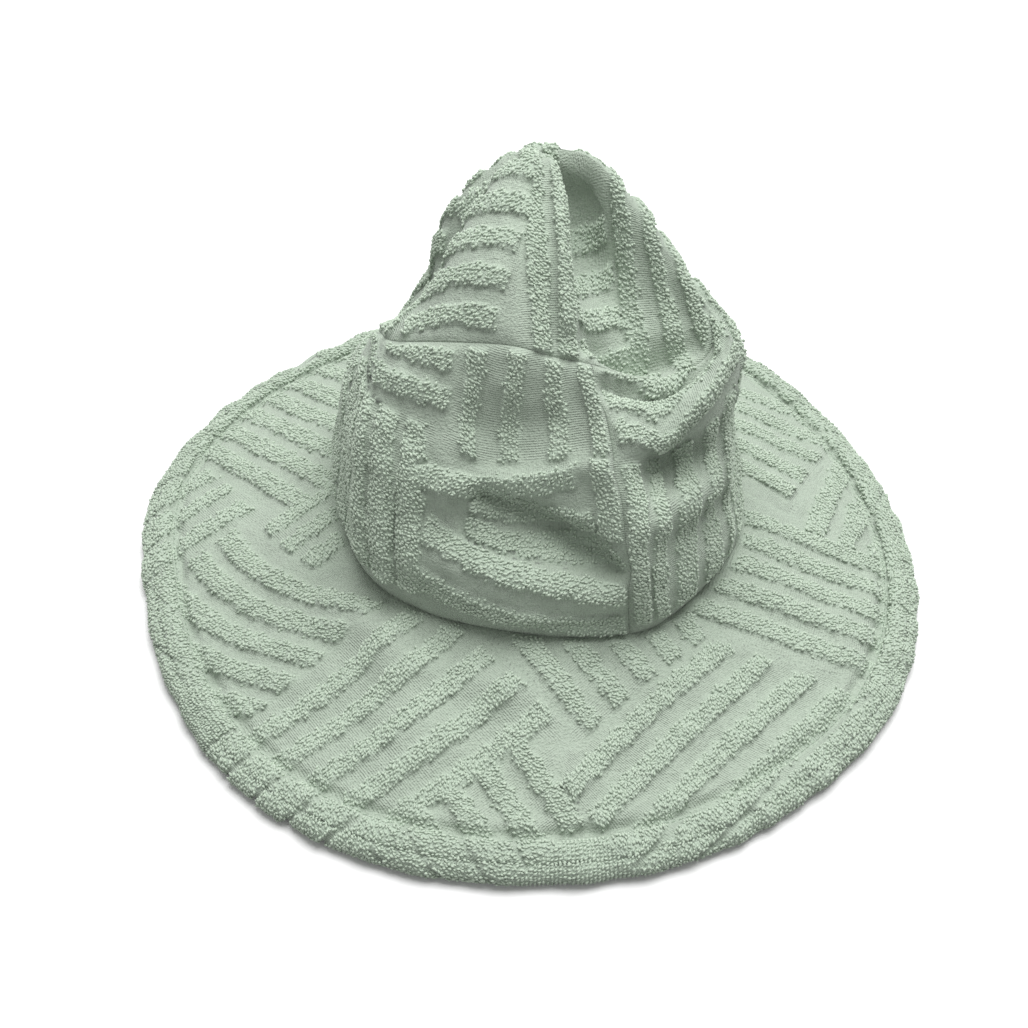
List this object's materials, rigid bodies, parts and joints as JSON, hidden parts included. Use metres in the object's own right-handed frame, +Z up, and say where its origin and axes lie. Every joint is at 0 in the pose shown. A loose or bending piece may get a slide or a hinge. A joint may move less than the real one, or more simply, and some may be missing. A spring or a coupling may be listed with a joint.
{
  "type": "bucket hat",
  "caption": "Soft terry bucket hat with a deep slumped crown, a wide sloping brim with a turned and stitched hem, and a sweatband.",
  "frame": {"origin": "centre of the hat's box on the surface that its hem rests on", "axes": "+Z up, -Y towards the front crown seam, +X to the right of it seen from the front"},
  "size_m": [0.3584, 0.3546, 0.1849],
  "materials": {
    "terry": "sage green jacquard terry, loop pile in parquet stripes over a flat ribbed ground, matt",
    "lining_cotton": "off-white cotton twill tape, matt",
    "thread": "matching green polyester sewing thread, slight sheen",
    "label": "blank white woven label, satin"
  },
  "bodies": {
    "root": {"brim": "terry", "crown_side_left": "terry", "crown_side_right": "terry", "crown_tip": "terry", "sweatband": "lining_cotton", "front_seam_tape": "lining_cotton", "back_seam_tape": "lining_cotton", "tip_seam_tape": "lining_cotton", "hem_topstitch": "thread", "care_label": "label"}
  },
  "joints": []
}
